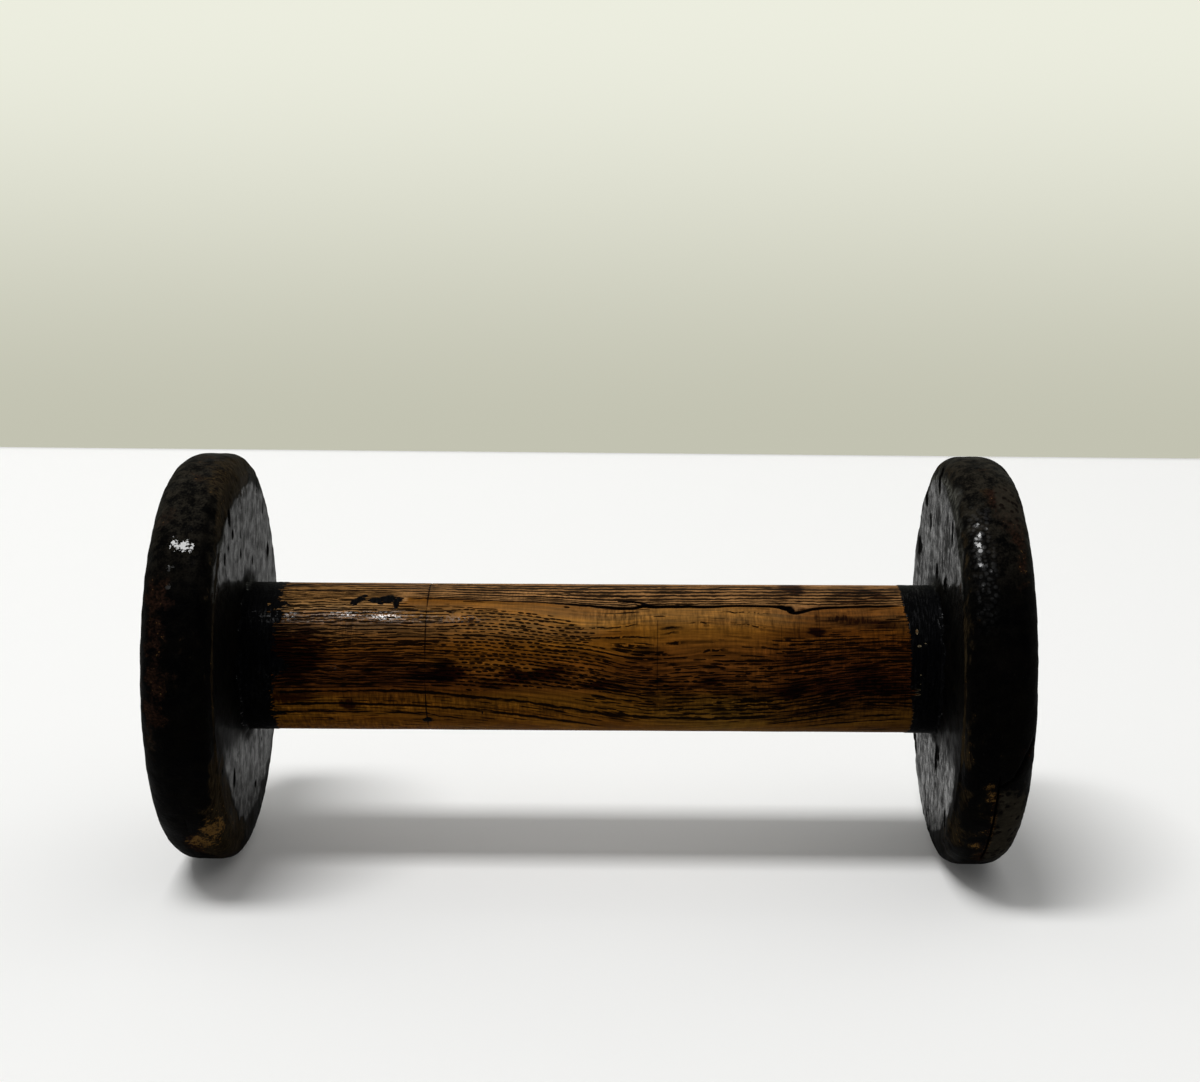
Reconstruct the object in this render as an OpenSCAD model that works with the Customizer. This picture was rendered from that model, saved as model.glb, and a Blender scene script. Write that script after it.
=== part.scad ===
// Flanged mill bobbin: a turned hardwood barrel with a wedged tenon at each end,
// two built-up flanges of crossed boards, and a metal bush in each end of the bore.
// The bore axis lies along X, and the origin is on it, midway between the flanges.

/* [Barrel] */
// Clear length for the yarn, between the two flanges
traverse = 216; // [120:1:300]
// Diameter of the barrel that the yarn is wound on
barrel_d = 46; // [42:0.5:56]
// Diameter of the bore along the barrel, clear of the spindle
barrel_bore_d = 21; // [20:0.25:23]
// Diameter of the tenon that carries a flange
tenon_d = 34; // [31:0.5:38]

/* [Flanges] */
// Diameter over the rim of a flange
flange_d = 127; // [110:1:160]
// Thickness of each of the two boards in a flange
ply_t = 10.75; // [9.5:0.25:14]
// Rounding of the rim on the yarn side
inner_edge_r = 6.5; // [2:0.25:8]
// Rounding of the rim on the outer side
outer_edge_r = 9; // [2:0.25:9.25]
// Chamfer on each board where the two meet at the rim
seam_chamfer = 0.4; // [0.1:0.05:0.6]

/* [Bushes] */
// Bore of a bush, which runs on the spindle
bush_bore_d = 19.5; // [16:0.25:19.75]
// Outside diameter of a bush
bush_d = 24; // [23.5:0.25:27]
// Length of a bush
bush_l = 32; // [20:1:45]
// Chamfer at the mouth of a bush
bush_chamfer = 0.8; // [0.2:0.1:1]

/* [Wedges] */
// Thickness of a tenon wedge at its driven end
wedge_t = 3; // [2.2:0.1:4]
// Thickness of a tenon wedge at its point
wedge_tip_t = 1.2; // [0.8:0.1:2]
// Length of a tenon wedge
wedge_l = 15; // [10:0.5:17]
// Depth of the saw kerf beyond the point of its wedge
kerf_run_out = 2; // [0.5:0.25:2]

/* [Nails] */
// Number of nails that hold the two boards of a flange together
nail_count = 6; // [3:1:10]
// Diameter of the circle that the nails are driven on
nail_circle_d = 84; // [64:1:88]
// Diameter of a nail's shank
nail_d = 2.8; // [2:0.1:4]
// Diameter of a nail's flat head
nail_head_d = 7; // [5:0.25:9]
// Thickness of a nail's flat head, sunk flush
nail_head_t = 1.2; // [0.8:0.1:2]
// How far a nail bites into the inner board
nail_bite = 7; // [4:0.25:8]

/* [Fits] */
// Gap left all round a glued, pressed or driven piece
seat_clearance = 0.05; // [0.02:0.01:0.1]

/* [Hidden] */
$fn = 96;
flange_t = 2 * ply_t;
tenon_hole_d = tenon_d + 2 * seat_clearance;
bush_seat_d = bush_d + 2 * seat_clearance;
kerf_depth = wedge_l + kerf_run_out;
nail_l = ply_t + nail_bite;
cut_overrun = 1;

barrel_brown = "#6e4420";
paint_black = "#1c1a18";
worn_black = "#2a2420";
iron_grey = "#5a5652";
pale_wood = "#9a7440";

left = -1;
right = 1;
upper = 1;
lower = -1;

// Puts a piece on one end of the bobbin. The piece is drawn with z = 0 on the
// yarn side of the flange and +Z pointing out of that end.
module on_end(side) {
    mirror([side < 0 ? 1 : 0, 0, 0])
        translate([traverse / 2, 0, 0])
            rotate([0, 90, 0])
                children();
}

// Half section of one flange board, drawn with the axis on the left. The seam with
// the other board is at y = 0 and the face with the rounded rim edge at y = ply_t.
module ply_section(edge_r) {
    rim_r = flange_d / 2;
    intersection() {
        union() {
            translate([0, seam_chamfer])
                square([rim_r, ply_t - seam_chamfer - edge_r]);
            square([rim_r - edge_r, ply_t]);
            translate([rim_r - edge_r, ply_t - edge_r])
                circle(edge_r);
            polygon([
                [0, 0], [rim_r - seam_chamfer, 0],
                [rim_r, seam_chamfer], [0, seam_chamfer]
            ]);
        }
        translate([tenon_hole_d / 2, 0])
            square([rim_r, ply_t]);
    }
}

// One turned board of a flange, with the seam at z = 0.
module ply_disc(edge_r) {
    rotate_extrude()
        ply_section(edge_r);
}

// Places its children at every nail of a flange.
module at_nails() {
    for (i = [0 : nail_count - 1])
        rotate([0, 0, 360 * (i + 0.5) / nail_count])
            translate([nail_circle_d / 2, 0, 0])
                children();
}

// A nail, or the hole that it fills when gap is the seat clearance. The flat of
// the head lies on the outer face of the flange.
module nail(gap = 0, overrun = 0) {
    translate([0, 0, flange_t - nail_l - gap])
        cylinder(d = nail_d + 2 * gap, h = nail_l - nail_head_t + 2 * gap);
    translate([0, 0, flange_t - nail_head_t - gap])
        cylinder(d = nail_head_d + 2 * gap, h = nail_head_t + gap + overrun);
}

// Section of a tenon wedge along the bore axis, or of the kerf that it spreads
// when gap is the seat clearance.
module wedge_section(length, gap = 0) {
    taper = (wedge_t - wedge_tip_t) / wedge_l;
    tip_half = (wedge_t - taper * length) / 2 + gap;
    mouth_half = wedge_t / 2 + gap;
    polygon([
        [-tip_half, flange_t - length], [tip_half, flange_t - length],
        [mouth_half, flange_t], [-mouth_half, flange_t]
    ]);
}

// A slab of that section across the tenon, as wide as the tenon.
module wedge_slab(length, gap = 0) {
    rotate([90, 0, 90])
        linear_extrude(height = tenon_d + 2 * cut_overrun, center = true)
            wedge_section(length, gap);
}

// The tenon on one end of the barrel, slotted for its wedges.
module tenon() {
    difference() {
        cylinder(d = tenon_d, h = flange_t);
        wedge_slab(kerf_depth, seat_clearance);
    }
}

module barrel() {
    color(barrel_brown)
        difference() {
            union() {
                rotate([0, 90, 0])
                    cylinder(d = barrel_d, h = traverse, center = true);
                on_end(left) tenon();
                on_end(right) tenon();
            }
            rotate([0, 90, 0])
                cylinder(d = barrel_bore_d, h = traverse + 2 * flange_t + 2 * cut_overrun, center = true);
            on_end(left) bush_seat();
            on_end(right) bush_seat();
        }
}

// The counterbore that a bush is pressed into, from the end of the tenon.
module bush_seat() {
    translate([0, 0, flange_t - bush_l])
        cylinder(d = bush_seat_d, h = bush_l + cut_overrun);
}

module flange_inner_ply(side) {
    color(worn_black)
        on_end(side)
            difference() {
                translate([0, 0, ply_t])
                    mirror([0, 0, 1])
                        ply_disc(inner_edge_r);
                at_nails() nail(seat_clearance);
            }
}

module flange_outer_ply(side) {
    color(paint_black)
        on_end(side)
            difference() {
                translate([0, 0, ply_t])
                    ply_disc(outer_edge_r);
                at_nails() nail(seat_clearance, cut_overrun);
            }
}

module bush(side) {
    color(iron_grey)
        on_end(side)
            translate([0, 0, flange_t - bush_l])
                difference() {
                    cylinder(d = bush_d, h = bush_l);
                    translate([0, 0, -cut_overrun])
                        cylinder(d = bush_bore_d, h = bush_l + 2 * cut_overrun);
                    translate([0, 0, bush_l - bush_chamfer])
                        cylinder(d1 = bush_bore_d, d2 = bush_bore_d + 2 * bush_chamfer, h = bush_chamfer);
                }
}

// One wedge of a tenon, above or below the bush.
module tenon_wedge(side, place) {
    color(pale_wood)
        on_end(side)
            intersection() {
                wedge_slab(wedge_l);
                difference() {
                    cylinder(d = tenon_d, h = flange_t);
                    translate([0, 0, -cut_overrun])
                        cylinder(d = bush_seat_d, h = flange_t + 2 * cut_overrun);
                }
                translate([-place * tenon_d / 2, 0, flange_t / 2])
                    cube([tenon_d, tenon_d, flange_t + 2 * cut_overrun], center = true);
            }
}

module flange_nails(side) {
    color(iron_grey)
        on_end(side)
            at_nails() nail();
}

barrel();
flange_inner_ply(left);  // left_flange_inner_ply
flange_outer_ply(left);  // left_flange_outer_ply
bush(left);  // left_bush
tenon_wedge(left, upper);  // left_upper_wedge
tenon_wedge(left, lower);  // left_lower_wedge
flange_nails(left);  // left_flange_nails
flange_inner_ply(right);  // right_flange_inner_ply
flange_outer_ply(right);  // right_flange_outer_ply
bush(right);  // right_bush
tenon_wedge(right, upper);  // right_upper_wedge
tenon_wedge(right, lower);  // right_lower_wedge
flange_nails(right);  // right_flange_nails
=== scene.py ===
# %% [markdown]
# A flanged mill bobbin, dressed for a picture. The turning, boring and joinery were
# settled in the CAD model, and this lesson only gives that model its looks: open-grained
# wood, tarry black paint, rubbed edges, cracks and a little dull iron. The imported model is
# loaded first and never moved, so every new piece is drawn straight into its place.

# %% Load the bobbin
import math
from itertools import product

import bpy
import numpy as np
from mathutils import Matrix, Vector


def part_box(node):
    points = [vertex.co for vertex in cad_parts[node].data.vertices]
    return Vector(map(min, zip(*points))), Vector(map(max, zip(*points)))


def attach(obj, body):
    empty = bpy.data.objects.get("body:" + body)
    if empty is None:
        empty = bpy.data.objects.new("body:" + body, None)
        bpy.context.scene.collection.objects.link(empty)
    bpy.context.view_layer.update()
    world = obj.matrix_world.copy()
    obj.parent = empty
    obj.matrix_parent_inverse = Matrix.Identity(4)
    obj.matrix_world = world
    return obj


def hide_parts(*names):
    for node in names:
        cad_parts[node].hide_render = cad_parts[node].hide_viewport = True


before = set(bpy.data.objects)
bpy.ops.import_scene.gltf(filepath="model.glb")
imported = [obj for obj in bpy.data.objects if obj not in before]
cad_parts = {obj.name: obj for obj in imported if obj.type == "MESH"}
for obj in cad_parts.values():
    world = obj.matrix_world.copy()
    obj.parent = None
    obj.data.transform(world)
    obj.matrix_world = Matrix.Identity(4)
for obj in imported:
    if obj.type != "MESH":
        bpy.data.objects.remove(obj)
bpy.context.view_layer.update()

print("nodes loaded:", len(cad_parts))

# %% [markdown]
# All carving below is worked out in millimetres, because that is how a turner would speak
# of it. The sizes are read from the CAD boxes rather than typed again, so the dressed
# pieces follow the bobbin if it is ever made longer or fatter.

# %% Take the sizes off the bobbin
def size_of(node):
    low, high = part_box(node)
    return np.array(low) * 1000, np.array(high) * 1000


barrel_r = size_of("barrel")[1][2]
tenon_r = size_of("right_upper_wedge")[1][2]
bush_r = size_of("right_bush")[1][2]
end_x = size_of("right_flange_outer_ply")[1][0]
seam_x = size_of("right_flange_outer_ply")[0][0]
face_x = size_of("right_flange_inner_ply")[0][0]
rim_r = size_of("right_flange_inner_ply")[1][2]
bush_in_x = size_of("right_bush")[0][0]
print(f"barrel {2 * face_x:.0f} x {2 * barrel_r:.0f} mm, flanges {2 * rim_r:.0f} mm")

# %% [markdown]
# The camera stands a little above the bobbin, square to its axis, with a longish lens, so
# the barrel runs level across the picture and both flanges show a sliver of the face that
# holds the yarn. Its place and turn were fitted to the outline of the real bobbin.

# %% Set up the camera
eye = bpy.data.objects.new("eye", bpy.data.cameras.new("eye"))
eye.location = (0.0106, -0.64137, 0.17186)
eye.rotation_euler = [math.radians(a) for a in (78.1523, -0.1626, 0.7414)]
eye.data.sensor_fit = "HORIZONTAL"
eye.data.sensor_width = 36.0
eye.data.lens = 63.258
bpy.context.scene.collection.objects.link(eye)
bpy.context.scene.camera = eye
bpy.context.scene.view_settings.view_transform = "Standard"
print("camera height above the axis:", round(eye.location.z * 1000), "mm")

# %% [markdown]
# The floor is a sheet of pale paper, and a second sheet stands upright some way behind the
# bobbin. Two sheets rather than one that curls up let the backdrop have a tone of its own,
# a shade warmer than the floor, and darker, which is painted shade, as an upright wall gets
# less light from above. The wall isn't quite square to the camera, so the line where the
# sheets meet drops a little to the right.

# %% Lay the paper
def paper_sheet(name, corners):
    mesh = bpy.data.meshes.new(name)
    mesh.from_pydata(corners, [], [(0, 1, 2, 3)])
    sheet = bpy.data.objects.new(name, mesh)
    bpy.context.scene.collection.objects.link(sheet)
    finish = bpy.data.materials.new(name)
    finish.use_nodes = True
    sheet.data.materials.append(finish)
    return sheet, finish.node_tree.nodes["Principled BSDF"]


ground = -rim_r / 1000
reach, top = 4.0, 2.0
far_left, far_right = 0.885, 0.659
far_edge = [(-reach, far_left, ground), (reach, far_right, ground)]
floor, floor_shader = paper_sheet("floor_paper", [(-reach, -reach, ground), (reach, -reach, ground)] + far_edge[::-1])
floor_shader.inputs["Base Color"].default_value = (0.46, 0.46, 0.44, 1)
backdrop, backdrop_shader = paper_sheet("backdrop_paper", far_edge + [(reach, far_right, top), (-reach, far_left, top)])
backdrop_shader.inputs["Base Color"].default_value = (0.40, 0.40, 0.37, 1)
for shader in (floor_shader, backdrop_shader):
    shader.inputs["Roughness"].default_value = 0.9
    shader.inputs["Specular IOR Level"].default_value = 0.1
print("paper laid at", round(ground * 1000, 1), "mm")

# %% [markdown]
# The bobbin stands under a long tube lamp that hangs high above it, a little to the front
# and reaching to the left. Its shape can be read from the shadows: they are crisp along the
# barrel, across the tube, and fade slowly to the right of each flange, along the tube. It is
# also why only the left half of the barrel has a sheen. A large dim panel, a soft lamp as
# wide as the wall behind and a grey room fill the shadows as white walls would. The camera
# and the gloss don't see that wall lamp, because they see the paper there.

# %% Hang the lamps
def hang(name, wide, deep, watts, place, turn=(0, 0, 0)):
    lamp = bpy.data.objects.new(name, bpy.data.lights.new(name, "AREA"))
    lamp.data.shape = "RECTANGLE"
    lamp.data.size, lamp.data.size_y, lamp.data.energy = wide, deep, watts
    lamp.location, lamp.rotation_euler = place, turn
    bpy.context.scene.collection.objects.link(lamp)
    return lamp


hang("tube_lamp", 2.5, 1.35, 186, (-1.5, -0.97, 4.94))
hang("ceiling", 2.6, 1.7, 5.5, (0, -0.25, 1.25))
along_wall = math.atan((far_right - far_left) / (2 * reach))
before_wall = (far_left + far_right) / 2 - 0.003
wall = hang("wall_lamp", 3.0, 2.0, 10, (0, before_wall, 0.94), (math.radians(-90), 0, along_wall))
wall.visible_camera = wall.visible_glossy = False
room = bpy.data.worlds.new("room")
room.use_nodes = True
room.node_tree.nodes["Background"].inputs["Color"].default_value = (0.12, 0.12, 0.12, 1)
bpy.context.scene.world = room
print("lamps hung")

# %% [markdown]
# Old finishes are built from many small rules: here the paint is thin, there the grain is
# open. Drawn as a node graph such rules are hard to read, so this class lets them be
# written as sums. It wraps one output of a node; adding or multiplying it puts the Math
# node in the graph. Colours and vectors go through Vector Math and Mix instead, since a
# plain Math node would turn a colour grey.

# %% Let node outputs be used in sums
def pick(sockets, key):
    usable = [s for s in sockets if s.enabled]
    if isinstance(key, int):
        return usable[key]
    return next(s for s in usable if s.name == key)


def plug(socket, value):
    if isinstance(value, Field):
        socket.id_data.links.new(value.socket, socket)
    elif socket.type == "RGBA" and len(value) == 3:
        socket.default_value = (*value, 1.0)
    else:
        socket.default_value = value


class Field:
    """One output of a node, which takes part in Python sums."""

    def __init__(self, socket):
        self.socket = socket

    def node(self, kind, settings=None, sockets=None, out=0):
        made = self.socket.id_data.nodes.new(kind)
        for key, value in (settings or {}).items():
            setattr(made, key, value)
        for key, value in (sockets or {}).items():
            plug(pick(made.inputs, key), value)
        return Field(pick(made.outputs, out))

    def is_wide(self, other):
        wide = {"VECTOR", "RGBA"}
        return self.socket.type in wide or isinstance(other, tuple) or (
            isinstance(other, Field) and other.socket.type in wide)

    def sum_of(self, operation, first, second):
        other = second if first is self else first
        if self.is_wide(other):
            first, second = [(v,) * 3 if isinstance(v, (int, float)) else v for v in (first, second)]
            return self.node("ShaderNodeVectorMath", {"operation": operation}, {0: first, 1: second})
        return self.node("ShaderNodeMath", {"operation": operation}, {0: first, 1: second})

    def __add__(self, other): return self.sum_of("ADD", self, other)
    def __radd__(self, other): return self.sum_of("ADD", other, self)
    def __sub__(self, other): return self.sum_of("SUBTRACT", self, other)
    def __rsub__(self, other): return self.sum_of("SUBTRACT", other, self)
    def __mul__(self, other): return self.sum_of("MULTIPLY", self, other)
    def __rmul__(self, other): return self.sum_of("MULTIPLY", other, self)
    def __truediv__(self, other): return self.sum_of("DIVIDE", self, other)

    def maths(self, operation, *others):
        return self.node("ShaderNodeMath", {"operation": operation}, dict(enumerate((self, *others))))

    def most(self, other):
        return self.maths("MAXIMUM", other)

    def rise(self, low, high):
        """0 below low, 1 above high, and a soft rise between them."""
        return self.node("ShaderNodeMapRange", {"interpolation_type": "SMOOTHSTEP"},
                         {"Value": self, "From Min": low, "From Max": high})

    def within(self, low, low_end, high, high_end):
        """A soft rise from low, and a soft fall from high."""
        return self.rise(low, low_end) * (1 - self.rise(high, high_end))

    def along(self, direction):
        return self.node("ShaderNodeVectorMath", {"operation": "DOT_PRODUCT"},
                         {0: self, 1: direction}, out="Value")

    def clouds(self, size, detail=2.0, out="Fac"):
        """Soft noise, 0 to 1, with lumps of this many mm, one number or three."""
        return self.node("ShaderNodeTexNoise", {}, {"Vector": self / size, "Scale": 1.0,
                         "Detail": detail, "Roughness": 0.55}, out=out)

    def specks(self, size):
        """Distance to the nearest of many scattered grains, in grains of this size in mm."""
        return self.node("ShaderNodeTexVoronoi", {}, {"Vector": self / size, "Scale": 1.0},
                         out="Distance")


def blend(mask, under, over):
    """Colour `under` where mask is 0 and `over` where it is 1."""
    return mask.node("ShaderNodeMix", {"data_type": "RGBA"}, {"Factor": mask, "A": under, "B": over})


print("Field ready")

# %% [markdown]
# Each finish starts the same way: a new material, its shader, and the place on the bobbin
# in mm. Patterns are tied to the place and not to a flat map, so the grain runs through the
# solid as it does in timber, and an end cut shows rings where a side cut shows lines. A few
# short helpers read a mark, take a place apart, put one together and fill in a shader.

# %% Start a finish
def new_finish(name):
    finish = bpy.data.materials.new(name)
    finish.use_nodes = True
    tree = finish.node_tree
    place = Field(tree.nodes.new("ShaderNodeTexCoord").outputs["Object"]) * 1000.0
    return finish, tree.nodes["Principled BSDF"], place


def mark(place, name):
    """A number that the carving left on the mesh under this name."""
    return place.node("ShaderNodeAttribute", {"attribute_name": name}, out="Fac")


def split(place):
    first = place.node("ShaderNodeSeparateXYZ", {}, {"Vector": place})
    return [Field(s) for s in first.socket.node.outputs]


def joined(x, y, z):
    return x.node("ShaderNodeCombineXYZ", {}, {"X": x, "Y": y, "Z": z})


def fill(shader, sockets, height):
    """Sets a shader's sockets, and gives it fine relief of this height in mm."""
    for name, value in sockets.items():
        plug(shader.inputs[name], value)
    plug(shader.inputs["Normal"], height.node(
        "ShaderNodeBump", {}, {"Height": height, "Strength": 1.0, "Distance": 0.001}))


print("finish starter ready")

# %% [markdown]
# White paper throws a lot of light back up, which would wash out the dark underside of the
# bobbin. So both sheets have two faces to show: to the camera and in reflections they are
# pale, and the floor still takes the shadow, while the light that they throw on the bobbin
# is that of grey paper. The backdrop is also painted paler towards its top and darker towards
# its foot, which is painted shading, as on an upright wall lit from above.

# %% Tone the two papers
def two_faced(sheet, shader, pale):
    """Shows the shader `pale` to the camera and in gloss, and the sheet's own to other light."""
    tree = sheet.data.materials[0].node_tree
    kinds = tree.nodes.new("ShaderNodeLightPath").outputs
    seen = Field(kinds["Is Camera Ray"]) + Field(kinds["Is Glossy Ray"]) + Field(kinds["Is Transmission Ray"])
    both = seen.node("ShaderNodeMixShader", {}, {"Fac": seen, 1: Field(shader.outputs[0]), 2: pale})
    plug(tree.nodes["Material Output"].inputs["Surface"], both)


def place_on(sheet):
    return Field(sheet.data.materials[0].node_tree.nodes.new("ShaderNodeTexCoord").outputs["Object"])


white = place_on(floor).node("ShaderNodeBsdfDiffuse", {}, {"Color": (0.885, 0.885, 0.875)})
glow = white.node("ShaderNodeEmission", {}, {"Color": (1.0, 1.0, 0.99), "Strength": 1.0})
two_faced(floor, floor_shader, white.node("ShaderNodeMixShader", {}, {"Fac": 0.04, 1: white, 2: glow}))
at = place_on(backdrop)
# painted shading: the backdrop's colour runs from darker at its foot to paler towards its top
tone = blend(split(at)[2].rise(ground, 0.24), (0.54, 0.54, 0.44), (0.84, 0.85, 0.74))
two_faced(backdrop, backdrop_shader, at.node("ShaderNodeEmission", {}, {"Color": tone, "Strength": 1.0}))
print("papers toned")

# %% [markdown]
# The turned pieces are carved as real relief: cracks, paint beads, rubbed rims. Their
# unevenness comes from lattice noise, which gives every corner of an invisible grid a fixed
# value and blends between them. Nothing is left to chance, so each run carves the same
# bobbin.

# %% Make even, repeatable unevenness
def lumps(points, size, seed):
    """Smooth noise, -1 to 1, at points in mm; size is the lump size, one number or three."""
    at = points / np.asarray(size, float) + seed * 17.31
    base = np.floor(at).astype(np.int64)
    part = at - base
    part = part * part * (3 - 2 * part)
    total = np.zeros(points.shape[:-1])
    for corner in product((0, 1), repeat=3):
        c = base + np.array(corner)
        h = (c[..., 0] * 73856093) ^ (c[..., 1] * 19349663) ^ (c[..., 2] * 83492791) ^ (seed * 7919)
        h = (h ^ (h >> 13)) * 1274126177
        h = ((h ^ (h >> 16)) & 0xFFFF) / 32767.5 - 1
        share = np.prod(np.where(np.array(corner) == 1, part, 1 - part), axis=-1)
        total += share * h
    return total


def soft(value, low, high):
    """0 below low, 1 above high, smooth between; low may be the larger."""
    t = np.clip((value - low) / (high - low), 0, 1)
    return t * t * (3 - 2 * t)


probe = lumps(np.stack(np.meshgrid(*[np.arange(0, 40, 2.3)] * 3), -1), 5, 3)
print("unevenness runs from", probe.min().round(2), "to", probe.max().round(2))

# %% [markdown]
# Every wooden piece here came off a lathe, so one helper makes them all: it takes a closed
# half section, spins it into a ring of columns, and lets the carving push each point along
# its own normal. Places that carry fine work, such as a crack, get closer rows and columns.
# Spinning a section in code rather than with a modifier keeps the angle of every point at
# hand, which the carving needs.

# %% Spin a section into a turned piece
def stations(stops, end):
    """Places along a line: stops are (from, step) pairs, up to and without `end`."""
    froms = [s[0] for s in stops] + [end]
    runs = [np.linspace(a, b, max(1, round((b - a) / step)), endpoint=False)
            for (a, step), b in zip(stops, froms[1:])]
    return np.concatenate(runs)


def spin(section, degrees):
    """Points and outward normals, rows by columns, in mm; 0 degrees faces the viewer, 90 is up."""
    ahead = np.roll(section, -1, 0) - section
    behind = section - np.roll(section, 1, 0)
    lead = ahead / np.maximum(np.linalg.norm(ahead, axis=1, keepdims=True), 1e-9)
    lead = lead + behind / np.maximum(np.linalg.norm(behind, axis=1, keepdims=True), 1e-9)
    out = np.stack([-lead[:, 1], lead[:, 0]], 1)
    out /= np.maximum(np.linalg.norm(out, axis=1, keepdims=True), 1e-9)
    angle = np.radians(degrees)[None, :]
    ones = np.ones_like(angle)

    def swept(pair):
        return np.stack([pair[:, :1] * ones, -pair[:, 1:] * np.cos(angle), pair[:, 1:] * np.sin(angle)], -1)

    return swept(section), swept(out)


def turned_piece(name, points, marks, finish):
    rows, columns = points.shape[:2]
    i, j = np.meshgrid(np.arange(rows), np.arange(columns), indexing="ij")
    i2, j2 = (i + 1) % rows, (j + 1) % columns
    faces = np.stack([i * columns + j, i2 * columns + j, i2 * columns + j2, i * columns + j2], -1)
    mesh = bpy.data.meshes.new(name)
    mesh.from_pydata(points.reshape(-1, 3) / 1000, [], faces.reshape(-1, 4).tolist())
    mesh.polygons.foreach_set("use_smooth", np.ones(rows * columns, bool))
    mesh.set_sharp_from_angle(angle=math.radians(50))
    for key, values in marks.items():
        held = mesh.attributes.new(key, "FLOAT", "POINT")
        held.data.foreach_set("value", np.broadcast_to(values, (rows, columns)).astype(np.float32).ravel())
    piece = bpy.data.objects.new(name, mesh)
    piece.data.materials.append(finish)
    bpy.context.scene.collection.objects.link(piece)
    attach(piece, "root")
    print(name, rows, "x", columns, "points")
    return piece


# %% [markdown]
# The barrel is one length of ring-porous hardwood, turned straight. It has a long drying
# crack on the upper front, a knot the crack runs round, and a scored ring a hand's width
# from the left flange. Each end carries a collar of the flange paint that stops in a
# ragged line, and a bead of thick paint lies in the corner against the flange. First comes
# the half section, with the tenons and the bored seats that the bushes fill.

# %% Draw the barrel's half section
along_barrel = stations([(-face_x, 0.45), (-90, 1.0), (-51, 0.16), (-49, 1.0), (90, 0.45)], face_x)
tenon_end = end_x - 0.25
seat_r, bore_r = bush_r + 0.05, barrel_r - 12.5
hidden = [(face_x, barrel_r), (face_x, (barrel_r + tenon_r) / 2), (face_x, tenon_r)]
hidden += [(x, tenon_r) for x in np.linspace(face_x + 3, tenon_end - 0.4, 7)]
hidden += [(tenon_end, r) for r in np.linspace(tenon_r - 0.4, seat_r + 0.3, 9)]
hidden += [(x, seat_r) for x in np.linspace(tenon_end - 0.3, bush_in_x, 6)]
hidden += [(bush_in_x, bore_r)]
bored = [(x, bore_r) for x in np.linspace(bush_in_x - 1, -bush_in_x + 1, 12)]
barrel_section = np.array([(x, barrel_r) for x in along_barrel] + hidden + bored
                          + [(-x, r) for x, r in hidden[::-1]])
barrel_columns = stations([(-180, 2.0), (-62, 1.2), (46, 0.36), (72, 1.2), (110, 2.0)], 180)
barrel_points, barrel_out = spin(barrel_section, barrel_columns)
bx = barrel_points[..., 0]
b_angle = np.broadcast_to(barrel_columns[None, :], bx.shape)
skin = (np.abs(bx) <= face_x) & (np.hypot(barrel_points[..., 1], barrel_points[..., 2]) > barrel_r - 0.1)
mm_per_degree = math.radians(barrel_r)


def uneven(size, seed):
    return lumps(barrel_points, size, seed)


print("section of", len(barrel_section), "points")

# %% [markdown]
# The crack is given by a few places read off the real barrel, as mm along it and degrees
# round it, with a depth at each. Between them it wanders a little on its own. The groove is
# narrow and steep, so it stays dark under any lamp.

# %% Cut the crack, the knot and the scored rings
crack_run = np.array([
    # mm along, degrees round, depth in mm
    (-58, 67.2, 0.0), (-50, 67.4, 0.1), (-40, 66.2, 0.12), (-30, 63.6, 0.16), (-20, 62.5, 0.16),
    (-10, 61.0, 0.25), (0, 58.6, 0.6), (5, 57.0, 0.8), (10, 56.0, 0.9), (13, 56.4, 1.0), (14.6, 58.0, 1.2),
    (16.2, 59.4, 1.3), (20, 58.4, 1.1), (25, 58.6, 1.0), (30, 58.6, 0.9), (35, 58.4, 0.9), (40, 59.2, 0.8),
    (45, 59.7, 0.7), (50, 59.7, 0.7), (55, 59.0, 0.8), (58, 58.9, 1.1), (60, 57.4, 1.3), (61.5, 54.4, 1.4),
    (63.2, 52.8, 1.1), (65, 53.6, 0.9), (68, 56.4, 0.9), (70, 57.4, 0.9), (75, 58.5, 0.8), (80, 59.3, 0.7),
    (90, 59.8, 0.6), (98, 60.2, 0.0)])
branch_run = np.array([
    (7.5, 63.8, 0.0), (9, 63.6, 0.4), (12, 63.4, 0.5), (15, 63.0, 0.7), (16.4, 61.6, 0.9), (17.4, 60.6, 0.0)])
wander = lumps(barrel_points * (1, 0, 0), 3.5, 4) * 0.4 + lumps(barrel_points * (1, 0, 0), 1.2, 5) * 0.25


def groove(run):
    """Profile, 0 to 1, and depth in mm of a crack along such a list of places."""
    off = (b_angle - np.interp(bx, run[:, 0], run[:, 1]) - wander) * mm_per_degree
    deep = np.interp(bx, run[:, 0], run[:, 2], left=0, right=0)
    return np.exp(-np.abs(off / (0.22 + 0.36 * deep)) ** 1.6), deep


def ovals(spots):
    """Greatest of some soft ovals: mm along, degrees round, half length and half width in mm, strength."""
    total = np.zeros(bx.shape)
    for x, angle, long, wide, much in spots:
        away = ((bx - x) / long) ** 2 + ((b_angle - angle) * mm_per_degree / wide) ** 2
        total = np.maximum(total, much * np.exp(-away))
    return total


(crack, crack_deep), (branch, branch_deep) = groove(crack_run), groove(branch_run)
knot = ovals([(60.2, 57.8, 1.7, 0.9, 1.0), (61.5, 55.0, 0.9, 1.2, 1.0), (58.0, 59.8, 1.6, 0.5, 1.0)])
score = np.exp(-((bx + 50.2) / 0.24) ** 2) * (0.55 + 0.45 * uneven(6, 8))
print("crack up to", crack_deep.max(), "mm deep")

# %% [markdown]
# The paint collars are kept as a distance in mm: positive inside the paint, negative on
# bare wood. The finish can then fray that edge along the grain, and the carving can raise
# the film a little where it is positive. The bead in the corner is thick and lumpy, as
# paint that ran there and set.

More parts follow.
